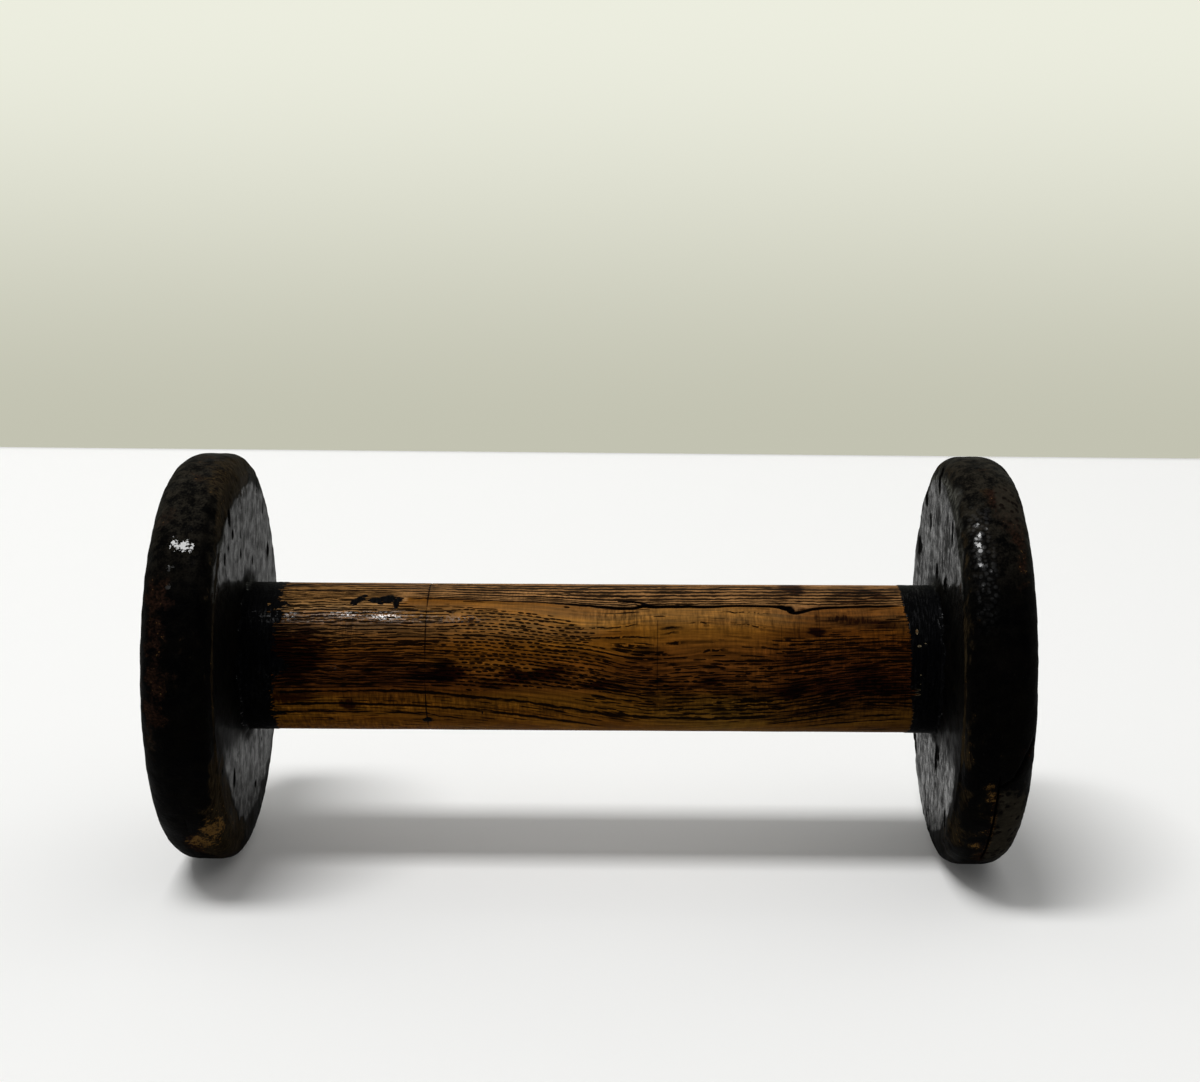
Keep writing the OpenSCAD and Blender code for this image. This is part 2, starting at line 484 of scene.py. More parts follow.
# %% Brush on the collars
edge_right = np.interp(b_angle, [-90, -45, -20, 0, 20, 40, 60, 90, 150],
                       [97.5, 98.8, 98.0, 97.5, 97.4, 96.8, 96.0, 95.3, 97.0])
edge_left = np.interp(b_angle, [-90, -40, -10, 10, 40, 60, 90, 150],
                      [98.0, 97.0, 96.6, 96.2, 96.5, 95.6, 95.0, 97.0])
collar_edge = np.where(bx > 0, edge_right, edge_left) + 0.5 * uneven(8, 11)
smeared = ovals([
    (-94.0, 58, 2.6, 1.6, 0.8), (-95.5, 46, 2.4, 1.8, 0.8), (-93.0, 8, 5.0, 3.0, 1.0), (-94, -35, 2.6, 1.0, 0.8)])
scraped = ovals([
    (101.9, 27, 1.0, 0.5, 1.0), (100.1, 25, 0.9, 0.4, 1.0), (100.4, 3, 0.6, 0.5, 0.8), (100.5, -4, 0.6, 0.5, 0.7),
    (99.6, -9, 1.3, 0.35, 1.0), (99.8, -13, 1.3, 0.35, 0.9), (99.4, 36, 0.5, 1.2, 0.8),
    (101.2, 41, 0.4, 0.8, 0.7), (103.6, 33, 0.4, 0.5, 0.7), (-100.4, 1, 0.6, 0.7, 0.9),
    (-99.9, -7.5, 0.6, 0.5, 0.8), (-103.8, -16, 0.5, 0.6, 0.8), (-99, 58, 0.6, 1.0, 0.9),
    (-98.6, 50, 0.9, 0.4, 0.8)])
paint_in = np.abs(bx) - collar_edge + 4.5 * smeared - 6.0 * scraped
blots = np.full(bx.shape, -9.0)
for x, angle, long, wide in [
        (-72.6, 60.5, 1.6, 1.5), (-71.0, 64.5, 1.5, 1.5), (-69.6, 68.5, 0.9, 1.0), (-66.2, 63.0, 2.6, 1.5),
        (-62.4, 65.0, 3.2, 2.2), (-59.2, 63.6, 2.0, 1.3), (-59.8, 58.6, 1.1, 2.0), (-64.6, 60.0, 0.9, 1.0),
        (-50.2, -43, 1.8, 1.5), (-79.8, -43, 1.4, 0.5), (-33.0, -33, 0.3, 1.0), (21.0, 178, 3.0, 1.1),
        (-33.0, -150, 2.2, 0.8), (58.0, 140, 4.0, 0.9)]:
    blots = np.maximum(blots, 1 - np.hypot((bx - x) / long, (b_angle - angle) * mm_per_degree / wide))
to_corner = face_x - np.abs(bx)
bead = soft(to_corner, 1.7 + 1.2 * uneven(5, 13), 0.1)
bead_height = bead * (0.55 + 0.6 * uneven(3.2, 14) + 0.4 * uneven(1.3, 15))
film = soft(np.maximum(paint_in, blots), -0.2, 0.5) * (0.13 + 0.05 * uneven((0.9, 6, 6), 16))
print("paint covers", round(float((paint_in > 0)[skin].mean()) * 100), "% of the barrel")

# %% [markdown]
# The run of the grain is read off the real barrel as a set of lines: each is so many degrees
# round it at a row of places along it, and the grain between two lines is blended. How far
# that is from a level line is kept as "sag". The finish turns the grain by it, so that pores
# and lines dip together round the middle of the barrel.

# %% Lay out the lines of the grain
places = [-110, -80, -60, -45, -30, -20, -10, 0, 7, 14, 20, 28, 38, 50, 60, 70, 80, 95, 110]
grain_lines = {
    # degrees round on the level left part: degrees round at each of the places
    180: [180] * 19,
    100: [100] * 19,
    72: [72, 72, 72, 71.5, 69, 68, 67, 65, 64, 64.5, 65, 65.5, 66, 67, 67.5, 67.5, 68, 68.5, 69],
    62: [66, 66, 66, 65.5, 63.5, 62.5, 61, 58.5, 56.5, 57, 58, 58.5, 59, 59.5, 59.5, 57.5, 59.3, 60, 60.5],
    46: [47, 47, 47, 47, 45.5, 43, 40.7, 38.3, 37.5, 40, 40.5, 41.5, 43.3, 40.5, 37, 36, 38, 39, 39],
    38: [38, 38, 38, 38, 37, 34, 31, 29.8, 29.8, 29.6, 30, 31, 31, 29.5, 27.5, 27.5, 29.5, 30, 30],
    31: [31, 31, 31, 31, 30, 28, 25.5, 23.5, 19, 16, 15.5, 17, 21, 20, 18, 19.5, 21.5, 21.5, 21.5],
    24: [24, 24, 24, 24, 22.5, 20, 17.5, 15, 10.5, 7, 8, 10, 10.5, 10.5, 11, 14, 16.5, 17, 17],
    15: [15, 15, 15, 15, 13.5, 10.5, 8, 5, 1.5, -1.5, -2.5, -1, 0, 0, 0, 2.5, 5, 8, 8],
    0: [0, 0, 0, -1, -2.5, -5, -8, -12, -15, -18, -19, -18, -17, -17, -15, -10, -6, -4, -3],
    -7: [-9, -7.5, -7, -8, -11, -14, -18, -23, -26, -29, -30, -30, -29, -29, -27, -22, -16, -14, -13],
    -12.5: [-16, -13.5, -12, -14, -18.3, -21, -26, -32, -36, -39.5, -41, -41.5, -41, -38.5, -35, -29, -23.5, -24, -25],
    -25: [-27, -24.5, -24.5, -27, -32, -36.5, -42, -50, -56, -60, -62, -62, -58, -50, -43, -36, -31, -30, -30],
    -33: [-32.5, -33.5, -32.5, -38, -44.5, -51, -58, -64, -70, -74, -75, -74, -70, -62, -55, -48, -42.5, -38, -36],
    -60: [-60, -60, -60, -64, -70, -76, -82, -88, -92, -95, -96, -95, -92, -86, -80, -75, -70, -66, -63],
    -120: [-120] * 19,
    -180: [-180] * 19,
}
levels = sorted(grain_lines)
rows_x = barrel_section[:, 0]
smooth = (-4, -2, 0, 2, 4)
tracks = np.array([np.mean([np.interp(rows_x + d, places, grain_lines[k]) for d in smooth], axis=0) for k in levels])
level = np.array([np.interp(barrel_columns, tracks[:, i], levels) for i in range(len(rows_x))])
sag = np.where(skin, np.radians(level - b_angle), 0.0)
print("grain sags by up to", round(float(sag.max()) * barrel_r, 1), "mm")

# %% [markdown]
# What the wood is like from place to place is easier to say here than in nodes. "Upper" is
# the tanned strip above the crack, "open" says how full of pores the wood is, "short" whether
# they are short dashes or long lines, "waver" how much those wander, and the others where the
# wood is stained, ruddy, hatched by the turner's tool or still bright. Each is a set of soft
# patches and ovals on the front; the back, which nothing is known of, gets noise.

# %% Place the figure of the wood and the stains
def window(value, low, high, edge):
    return soft(value, low - edge, low + edge) * soft(value, high + edge, high - edge)


def patch(start, stop, x_edge, low, high, edge):
    """Soft patch on the barrel: from, to and edge in mm along, then in degrees round."""
    return window(bx, start, stop, x_edge) * window(b_angle, low, high, edge)


tan_left = np.interp(bx, [-110, -64, -57, -55], [50, 53, 62, 90])
tan_edge = np.minimum(np.interp(bx, crack_run[:, 0], crack_run[:, 1]), tan_left)
tan_fade = np.where(bx < -57, 4.0, 0.6)
upper = soft(b_angle - tan_edge, -tan_fade, tan_fade) * soft(b_angle, 160, 125)
pore_clouds = uneven((40, 13, 13), 21)
front_side = window(b_angle, -85, 88, 18)
dash_top = np.interp(bx, [-42, -20, -8, 2], [57, 51, 45, 33])
placed = 0.08 + 0.90 * patch(-130, -40, 7, -9, 57, 4)
for much, *spread in [
        (0.85, -130, -59, 3, 48, 80, 6), (0.95, -43, 2, 6, -11, dash_top, 4), (0.85, 0, 22, 5, -26, 24, 6),
        (0.75, 18, 62, 7, -38, 15, 5), (0.85, 58, 130, 6, -26, 31, 4), (0.60, 2, 70, 8, -44, -18, 5),
        (0.22, -130, 0, 8, -46, -14, 4)]:
    placed = np.maximum(placed, much * patch(*spread))
open_grain = (0.52 + 0.32 * pore_clouds) * (1 - front_side) + (placed + 0.10 * pore_clouds) * front_side
open_grain = np.clip(open_grain, 0, 1)
waver = np.clip(0.10 + 0.55 * patch(-130, -66, 8, -8, 82, 4) + 0.30 * patch(20, 62, 8, -30, 20, 6), 0, 1)
waver *= 1 - 0.6 * upper * soft(bx, -78, -60)
short = np.clip(0.5 + 0.9 * uneven((30, 9, 9), 24), 0, 1) * (1 - front_side)
short = np.maximum(short, patch(-43, 3, 6, -12, 60, 6) * front_side)
short = np.maximum(short, 0.35 * patch(20, 62, 6, -26, 60, 6) * front_side)

stain = 0.5 * soft(uneven((30, 10, 10), 22), 0.15, 0.8) * (1 - front_side)
stain = np.maximum(stain, ovals([
    (-91, 5, 8, 5.0, 1.7), (-87, 30, 7, 5, 1.3), (30, -12, 20, 3.0, 0.6), (-97, 20, 10, 12, 1.5),
    (-97, 46, 5, 4, 1.0), (-90, 35, 5, 4.5, 0.7), (-88, 14, 9, 3.0, 1.1), (-66, 6, 16, 3.4, 0.6),
    (-64, 14, 6, 1.2, 0.7), (-47, 1, 12, 2.6, 1.7), (-52, -1, 5, 1.2, 1.2), (-45, 10, 11, 1.8, 0.7),
    (-90, -20, 9, 2.8, 1.3), (-8, -3, 6, 1.8, 1.2), (2, -7, 6, 1.7, 1.2), (-16, 1, 15, 3.4, 1.05),
    (-22, -4, 14, 2.6, 0.7), (10, -8, 10, 2.4, 0.7), (20, -4, 3.5, 0.9, 1.1), (37, -3, 4.5, 1.8, 0.9),
    (35, 3, 2, 1.6, 0.6), (62, -11, 6, 3.2, 1.1), (59, 2, 5, 1.6, 0.6), (74, -8, 6, 2.8, 0.9),
    (85, -4, 12, 3.6, 0.75), (90, -11, 6, 1.1, 0.9), (84, 8, 6, 1.6, 0.6), (70, -2, 3, 0.8, 0.9),
    (50, 11, 7, 0.8, 0.6), (45, -14, 18, 3.0, 0.45), (-74, -25, 3.0, 2.6, 1.2), (-50, -44, 1.6, 1.6, 0.9),
    (-72, -34, 2.6, 0.8, 0.9), (-95, -35, 3, 1.0, 0.9), (-36.5, 42, 0.6, 2.4, 0.9), (82, 43, 14, 2.0, 1.0),
    (88, 40, 8, 0.7, 0.8), (77, -32, 18, 2.6, 0.6), (75, 46, 6, 1.6, 0.9), (88, 40, 6, 0.9, 1.0),
    (69, 35.5, 2.4, 1.7, 1.3), (69.3, 46, 0.9, 4.5, 0.8), (61.5, 86, 4.4, 7.0, 1.7), (62, 72, 3.2, 2.6, 0.9),
    (64.6, 55.6, 2.0, 0.9, 0.6), (63.6, 64.5, 0.8, 1.0, 0.9), (59, 67, 3, 0.5, 0.7), (83, 74, 16, 8.0, 0.85),
    (-43.6, -43, 0.6, 0.5, 1.2), (-35, -43, 0.7, 0.5, 1.2)]))
stain *= 0.85 + 0.45 * uneven((6, 2.5, 2.5), 23)
ruddy = ovals([(78, -2, 26, 10, 1.0), (40, 4, 24, 5, 0.6)])
ruddy = np.maximum(ruddy, 0.8 * soft(bx, -34, -62) * window(b_angle, -10, 45, 10))
ruddy = ruddy * front_side + (0.45 + 0.4 * pore_clouds) * (1 - front_side)
hatched = ovals([
    (-74, 33, 3.6, 5.5, 1.0), (-46, 20, 4, 6, 0.4), (10, 48, 14, 4.5, 0.9), (18, 30, 5, 8, 0.5),
    (45, 46, 22, 5, 0.7), (80, 48, 14, 3.5, 0.9), (-60, -22, 34, 5, 0.9), (-20, -30, 22, 5, 0.8),
    (63, 40, 2.5, 6, 0.8), (70, -34, 28, 5, 0.8)])
hatched = np.maximum(hatched * front_side, 0.18 + 0.5 * soft(pore_clouds, 0.2, 0.7))
sparkle = ovals([
    (-63, 46.5, 3.6, 1.1, 1.0), (-75.5, 48.5, 3.4, 0.7, 0.8), (-92.5, 47, 2.0, 1.2, 0.35),
    (-40, 45, 5, 1.0, 0.12), (-77.5, 6.5, 0.8, 0.4, 1.0)])
print("stain covers", round(float((stain > 0.5)[skin].mean()) * 100), "% of the barrel")

# %% [markdown]
# All the relief of the barrel is now added up: a slow swell, the crack and its branch, the
# knot, the scored ring, the paint's thickness and furrows where the grain is open. The marks
# go with the mesh, so the finish can find the same places again.

# %% Carve the barrel
swell = 0.10 * uneven((60, 18, 18), 31) + 0.05 * uneven((14, 6, 6), 32)
height = swell - np.maximum(crack * crack_deep, branch * branch_deep) - 0.9 * knot - 0.2 * score + film + bead_height
height -= 0.06 * soft(uneven((22, 1.1, 1.1), 33), 0.1, 0.7) * open_grain
barrel_carved = barrel_points + barrel_out * np.where(skin, height, 0)[..., None]
dark_crack = np.maximum(crack * soft(crack_deep, 0, 0.5), branch * soft(branch_deep, 0, 0.5))
on_skin = dict(crack=np.maximum(dark_crack, knot), bead=bead, score=score, sparkle=sparkle,
               stain=stain, hatched=hatched, open=open_grain)
barrel_marks = {name: np.where(skin, values, 0.0) for name, values in on_skin.items()}
barrel_marks.update(paint=np.where(skin, paint_in, -40), blots=np.where(skin, blots, -9), cut=~skin,
                    sag=sag, upper=upper, short=short, ruddy=ruddy, waver=waver)
print("relief from", round(float(height[skin].min()), 2), "to", round(float(height[skin].max()), 2), "mm")

# %% [markdown]
# The finish of the barrel is oiled wood, worn smooth by yarn. Growth rings cross the front
# almost flat, so a fixed direction through the solid gives the depth below the bark. The
# place is turned by the sag first, and noise makes the grain waver. On the cut ends of the
# tenons each ring shows as a dark line. How wide that looks depends on how steeply the
# surface cuts the ring, so its width is worked out along the surface.

# %% Lay the grain through the barrel
barrel_wood, wood_shader, place = new_finish("barrel_wood")
x, y, z = split(place)
grain = place.node("ShaderNodeVectorRotate", {"rotation_type": "X_AXIS"},
                   {"Vector": place, "Angle": 0 - mark(place, "sag")})
grain = grain + (grain.clouds((30, 12, 12), 1.0, "Color") - 0.5) * (0.0, 1.3, 1.3)
grain = grain + (grain.clouds((3.4, 1.6, 1.6), 1.0, "Color") - 0.5) * (0.0, 1.0, 1.0) * mark(place, "waver")
bark = math.radians(41)
depth = grain.along((0, -math.cos(bark), math.sin(bark)))
across = grain.along((0, math.sin(bark), math.cos(bark)))
lay = joined(x, depth, across)
rings_per_mm = 0.40
steep = (across / barrel_r).maths("ABSOLUTE").most(0.06)
past_ring = ((depth - 22.3) * rings_per_mm + 40.0).maths("FRACT") / (rings_per_mm * steep)
line_wide = lay.clouds((24, 1.3, 1.7)).rise(0.30, 0.64) * 1.05 + 0.22
ring_line = (1 - (past_ring / line_wide).rise(0.55, 1.0)) * steep.rise(0.16, 0.40) * mark(place, "cut")
print("grain laid")

# %% [markdown]
# A pore cut lengthwise is a thin dark dash, and the dashes stand in rows along the grain.
# Scattered cells give one dash each: the cell's middle says where it is, and the distance
# to that middle, stretched, gives its shape. Each cell also has a random colour, which is
# used as luck: it decides how thick the dash is and whether there is one at all. One set of
# short dashes and two of long, wavy ones make up the figure of the real barrel, with fine
# threads in between.

# %% Open the pores
round_it = across.maths("ARCTAN2", depth) * barrel_r + bark * barrel_r
slant = 0.37


def pore_rows(row, gap, half_long, half_thick, loose, share):
    """Dashes in rows, sizes in mm; loose is how far they stray, share how many of the places hold one."""
    flat = joined(x / gap + round_it * (slant / row), round_it / row, 0.0)
    nearest = flat.node("ShaderNodeTexVoronoi", {"voronoi_dimensions": "2D"},
                        {"Vector": flat, "Scale": 1.0, "Randomness": loose}, out="Position")
    luck = split(Field(nearest.socket.node.outputs["Color"]))
    away_x, away_y, _ = split(flat - nearest)
    far_along = (away_x - away_y * slant) * (gap / half_long)
    far_across = away_y * (row / half_thick) / (0.7 + luck[0] * 0.55)
    far_off = (far_along * far_along + far_across * far_across).maths("SQRT")
    return (1 - far_off.rise(0.75, 1.10)) * (share - luck[1]).rise(-0.02, 0.08)


open_wood = mark(place, "open")
short = mark(place, "short")
dashes = pore_rows(1.04, 2.35, 1.05, 0.28, 0.42, open_wood * 1.2 * short)
wavy = pore_rows(0.95, 4.0, 2.6, 0.20, 0.55, open_wood * 1.15 * (1 - short * 0.85))
wavy = wavy.most(pore_rows(1.27, 6.4, 5.2, 0.20, 0.5, open_wood * 0.95 * (1 - short * 0.75)))
threads = lay.clouds((14, 0.55, 0.55)).rise(0.53, 0.61) * (0.22 + open_wood * 0.70)
fibre = lay.clouds((15, 0.58, 0.60), 3.0)
side_cut = 1 - mark(place, "cut")
pores = dashes.most(wavy) * side_cut
print("pores opened")

# %% [markdown]
# Some lines are too long and bold to come from scattered cells, so they are drawn one by
# one along the grain, each with its place, its ends and its thickness. Noise nudges and
# swells them, so they look grown and not ruled. "Bold" ones edge the growth rings below the
# middle, "arcs" are the broken ones in the clear wood, and the strip above the crack has a
# row of its own. Fine lines across the grain are what the turner's tool left.

# %% Draw the long lines
swollen = lay.clouds((6, 4, 4)).rise(0.26, 0.74) * 0.9 + 0.6
nudged = round_it + (lay.clouds((3.0, 3.5, 3.5)) - 0.5) * 1.1


def long_lines(runs):
    """Dark lines that follow the grain: degrees round, from and to in mm along, half thickness in mm."""
    drawn = 0.0
    for degrees, start, stop, half in runs:
        off = (nudged - math.radians(degrees) * barrel_r).maths("ABSOLUTE")
        ends = x.rise(start, start + 5) * (1 - x.rise(stop - 5, stop))
        line = (1 - (off / (swollen * half)).rise(0.70, 1.1)) * ends
        drawn = line.most(drawn)
    return drawn


bold = long_lines([
    (-12.5, -99, -52, 0.46), (-12.5, -60, -24, 0.54), (-12.5, -30, 14, 0.44), (-11.2, 4, 36, 0.42),
    (-12.5, 60, 82, 0.40), (-25, -98, -70, 0.50), (-25, -76, -30, 0.42), (-25, -34, 6, 0.42), (-25, 52, 82, 0.40),
    (-33, -99, -64, 0.44), (-33, -66, -36, 0.34), (-33, 64, 99, 0.42), (-7, -97, -84, 0.42), (-7, -80, -62, 0.52),
    (-7, 34, 64, 0.34), (-7, 64, 84, 0.36), (-4.5, -36, -24, 0.42), (24, 56, 81, 0.26), (24, 20, 30, 0.30),
    (38, 71, 82, 0.30), (31, 78, 98, 0.30), (23.5, -69, -45, 0.32), (27.5, -73, -62, 0.32), (20, 84, 98, 0.28),
    (36.5, -49, -38, 0.28), (8, -62, -40, 0.36), (-1, -58, -38, 0.42), (-17, 70, 98, 0.38), (-12.2, 28, 58, 0.44),
    (-17, 52, 70, 0.38), (-9.5, 64, 80, 0.40), (-10.7, 80, 97, 0.32), (-28, 80, 97, 0.38), (-1, 40, 58, 0.28),
    (-4, 40, 62, 0.28)])
dark_lines = pores.most(threads * side_cut * 0.75)
dark_lines = dark_lines.most(ring_line).most(bold * side_cut)
broken = lay.clouds((2.0, 2.5, 2.5), 1.0).rise(0.38, 0.46)
arcs = broken * long_lines([
    (46, -8, 17, 0.26), (38, -8, 21, 0.26), (43, 19, 30, 0.26), (40, 20, 29, 0.24), (46, 28, 39, 0.25),
    (46, 42, 56, 0.26), (56, 38, 56, 0.27), (34, 4, 19, 0.25), (35, 20, 31, 0.24), (31, 30, 44, 0.27)])
dark_lines = dark_lines.most(arcs * side_cut)
strip_lines = side_cut * long_lines([
    (62.6, -58, 8, 0.46), (65.8, -60, 100, 0.38), (69.0, -57, 99, 0.42), (72.6, -57, 99, 0.46),
    (76.4, -99, 99, 0.50), (80.8, -70, 99, 0.60), (85.4, -99, 99, 0.64), (90.5, -99, 60, 0.74)])
turning = joined(x * 2.1, y / 12, z / 12)
hairlines = turning.clouds((1, 1, 1)).rise(0.49, 0.57) * mark(place, "hatched")
turn = z.maths("ARCTAN2", 0 - y) * math.degrees(1)
rings = 0.0
for ring_x, low, high, much in ((20.5, -12, 45, 0.75), (69.8, 22, 57, 0.6), (63.7, 30, 57, 0.6),
                                (58.2, 27, 42, 0.5), (-36.2, -6, 32, 0.45), (-39.4, -42, -34, 0.8)):
    ends = turn.rise(low - 2, low + 2) * (1 - turn.rise(high - 2, high + 2))
    rings = (1 - (x - ring_x).maths("ABSOLUTE").rise(0.06, 0.22)) * ends * much + rings
print("long lines drawn")

# %% [markdown]
# The colour goes on in the order in which it came to the real wood: the timber's own gold
# and red-brown first. Then it is tinted by place. The front round the middle is made darker
# and redder, which is painted shade where the lamp above lights it less. The underside is
# made lighter and more olive, which is painted light thrown up from the floor. The wood is
# duller to the right. A band round the upper front, which holds the clear lens under the
# crack, is made brightest: partly the lighter wood of the lens, partly a painted sheen where
# the lamp's reflection falls.

# %% Colour the bare wood
gold, dark_gold, red_brown = (0.172, 0.068, 0.0085), (0.118, 0.041, 0.0050), (0.080, 0.026, 0.0060)
tan_smoked, tan_clear = (0.195, 0.096, 0.036), (0.232, 0.115, 0.049)
honey = blend(lay.clouds((50, 6, 6)).rise(0.35, 0.65), gold, dark_gold)
honey = blend(mark(place, "upper"), honey, blend(x.rise(-66, -54), tan_smoked, tan_clear))
honey = blend(mark(place, "ruddy") * 0.9, honey, red_brown)
honey = honey * (fibre * 2.7 - 0.35) * (1 + short * 0.2)
honey = honey * (0.62 + lay.clouds((4.5, 5.5, 5.5)) * 0.76)
shade_tint, golden, olive, smoky = (0.84, 0.74, 0.86), (1.07, 1.06, 0.84), (1.07, 1.28, 1.35), (0.78, 0.70, 0.66)
# painted shade: the band round the middle of the front is made darker and redder, reaching higher to the right
shaded = turn.rise(-20, -8) * (1 - (turn - x.rise(0, 30) * 19).rise(-2, 24))
# painted bounce light: the underside is made lighter, and more olive on the right, as light thrown up from the floor
bounce_lit_underside = 1 - turn.rise(-22, -4)
honey = honey * blend(shaded, blend(x.rise(0, 40) * bounce_lit_underside, golden, olive), shade_tint)
honey = honey * (1 + (1 - x.rise(-62, -46)) * bounce_lit_underside * 0.28)
honey = honey * (1 - x.rise(12, 30) * turn.within(2, 14, 44, 52) * 0.2)
honey = honey * blend(x.rise(46, 66) * (1 - turn.rise(57, 63)), (1, 1, 1), smoky)
# the lens band is partly lighter clear wood and partly a painted sheen, where the lamp's reflection falls
lens = (turn + 9 - x.rise(-4, 12) * 13).rise(30, 47) * (1 - turn.rise(54, 66)) * (1 - x.rise(56, 70) * 0.6)
honey = honey + lens * (0.058, 0.040, 0.0175)
mottle = joined(x / 0.9, y / 3.2, z / 3.2).clouds(1)
honey = honey * (1 + (mottle - 0.5) * mark(place, "hatched") * 3.4)
print("bare wood coloured")

# %% [markdown]
# Then come the dark pores and lines, the stain that soaked in between them, the scored
# rings and the crack, and the paint over all of it. The paint's edge is moved in and out by
# streaks along the grain, so it frays into dashes. Cream flecks show where it has lifted.

# %% Darken and paint the barrel
strip_brown, pore_black, crack_black = (0.0070, 0.0032, 0.0012), (0.0022, 0.0009, 0.0003), (0.0018, 0.0010, 0.0007)
wood = blend(strip_lines * 0.96, honey, strip_brown) * (1.04 - hairlines * 0.34)
wood = blend(dark_lines * 0.97, wood, pore_black)
soak = mark(place, "stain")
streaked = blend(mark(place, "hatched").rise(0.4, 0.8), lay.clouds((8, 0.6, 0.6), 3.0), mottle)
stained = (soak + (streaked.along((1, 0, 0)) - 0.5) * 2.2).rise(0.10, 0.85) * soak.rise(0.02, 0.35)
wood = wood * blend(stained, (1, 1, 1), (0.10, 0.065, 0.05))
wood = wood * (1 - mark(place, "score").rise(0.12, 0.6) * 0.85) * (1 - rings * 0.8)
wood = blend(mark(place, "crack").rise(0.10, 0.45), wood, crack_black)
nibbled = (lay.clouds((1.4, 0.8, 0.8)) - 0.5) * (1.1 + (1 - x.rise(-2, 2)) * 6.5)
frayed = mark(place, "paint") + (lay.clouds((6.0, 0.40, 0.45)) - 0.5) * 2.0 + nibbled
cream = (0.17, 0.135, 0.080)
wood = blend(frayed.rise(-1.6, -0.6) * x.rise(98.6, 99.6), wood, cream)
blotted = mark(place, "blots") + (lay.clouds((2.0, 0.6, 0.6)) - 0.5) * 1.3
tarred = frayed.rise(-0.12, 0.16).most(blotted.rise(0.05, 0.2))
brushed = turning.clouds((0.9, 0.35, 0.35))
tar = blend(brushed.rise(0.3, 0.75), (0.0005, 0.0005, 0.0006), (0.0020, 0.0021, 0.0027))
print("barrel coloured")

# %% [markdown]
# The bare wood is dull but for a sheen that yarn has rubbed on the upper left, with a few
# bright sparks in it. The tar is glossier, most of all where it stands in a bead in the
# corner. Every value is blended from wood to tar by the same mask as the colour.

# %% Set the barrel's gloss and fine relief
bare_rough = 0.56 + dark_lines * 0.2
tar_rough = 0.40 + brushed * 0.3
flecks = place.clouds(0.9)
tar_gloss = brushed.rise(0.53, 0.63) * (0.01 + x.rise(-2, 2) * turn.rise(10, 30) * 0.07)
tar_gloss = flecks.rise(0.60, 0.72) * (0.05 + mark(place, "bead") * 0.7) + tar_gloss
sheen = (1 - dark_lines) * place.clouds((1.1, 0.7, 0.7)).rise(0.36, 0.64)
sheen = sheen * turn.within(30, 44, 52, 64) * (1 - x.rise(-66, -32)) * (0.3 + x.rise(-98, -74) * 0.7)
wood_gloss = mark(place, "sparkle") * flecks.rise(0.50, 0.58) + sheen * 0.12 + 0.002
bare_height = fibre * 0.06 - pores * 0.14 + mark(place, "sparkle") * flecks * 0.5
tar_height = brushed * 0.10 + flecks * 0.20 + 0.05
fill(wood_shader, {
    "Base Color": blend(tarred, wood, tar),
    "Roughness": bare_rough + (tar_rough - bare_rough) * tarred,
    "Coat Weight": wood_gloss + (tar_gloss - wood_gloss) * tarred,
    "Specular IOR Level": 0.01, "Coat Roughness": 0.22, "Coat IOR": 1.8,
}, bare_height + (tar_height - bare_height) * tarred)

barrel = turned_piece("turned_barrel", barrel_carved, barrel_marks, barrel_wood)
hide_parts("barrel")

# %% [markdown]
# Each flange is two boards glued face to face with their grain crossed, turned round and
# painted with something thick and black. The yarn side has a smaller rounding than the
# outside. The board edges have been knocked and rubbed for decades, so the rim is drawn
# with close rows, where the hidden joint between the boards needs few.

# %% Draw the two boards' half sections
def arc(mid, radius, start, stop, step):
    count = max(3, round(math.radians(abs(stop - start)) * radius / step))
    turns = np.radians(np.linspace(start, stop, count))
    return [(mid[0] + radius * math.cos(t), mid[1] + radius * math.sin(t)) for t in turns]


def run(a, b, step):
    a, b = np.array(a, float), np.array(b, float)
    return [tuple(p) for p in np.linspace(a, b, max(2, round(np.linalg.norm(b - a) / step)), endpoint=False)]


board = seam_x - face_x
inner_round, outer_round, ease = 6.5, 9.0, 0.4
hole_r = tenon_r + 0.05
inner_section = run((0, hole_r), (0, 24.5), 1.6) + run((0, 24.5), (0, rim_r - inner_round), 0.85)
inner_section += arc((inner_round, rim_r - inner_round), inner_round, 180, 90, 0.5)
inner_section += run((inner_round + 0.5, rim_r), (board - ease, rim_r), 0.5)
inner_section += [(board - ease, rim_r), (board - ease / 2, rim_r - ease / 2), (board, rim_r - ease)]
inner_section += run((board, rim_r - 1.5), (board, hole_r), 9) + run((board, hole_r), (0, hole_r), 4)
thick = end_x - face_x
outer_section = run((board, hole_r), (board, rim_r - 1.5), 9)
outer_section += [(board, rim_r - ease), (board + ease / 2, rim_r - ease / 2), (board + ease, rim_r)]
outer_section += run((board + ease + 0.4, rim_r), (thick - outer_round, rim_r), 0.5)
outer_section += arc((thick - outer_round, rim_r - outer_round), outer_round, 90, 0, 0.55)
outer_section += run((thick, rim_r - outer_round - 0.85), (thick, hole_r), 0.95)
outer_section += run((thick, hole_r), (board, hole_r), 4)
flange_columns = stations([(-180, 0.95), (-100, 0.5), (112, 0.95)], 180)
print("board sections of", len(inner_section), "and", len(outer_section), "points")

# %% [markdown]
# The rubbed places are listed by where they are on the flange: mm in from the yarn side,
# mm from the axis, degrees round, reach in mm and strength. Each is a soft blob of wear;
# noise joins them into natural patches, and the finish frays their edges. The yarn side has
# a grey film with an uneven edge and chips in it, and a few spots of the rim are still
# glossy. The back of the flange, which nothing is known of, gets its wear from noise.

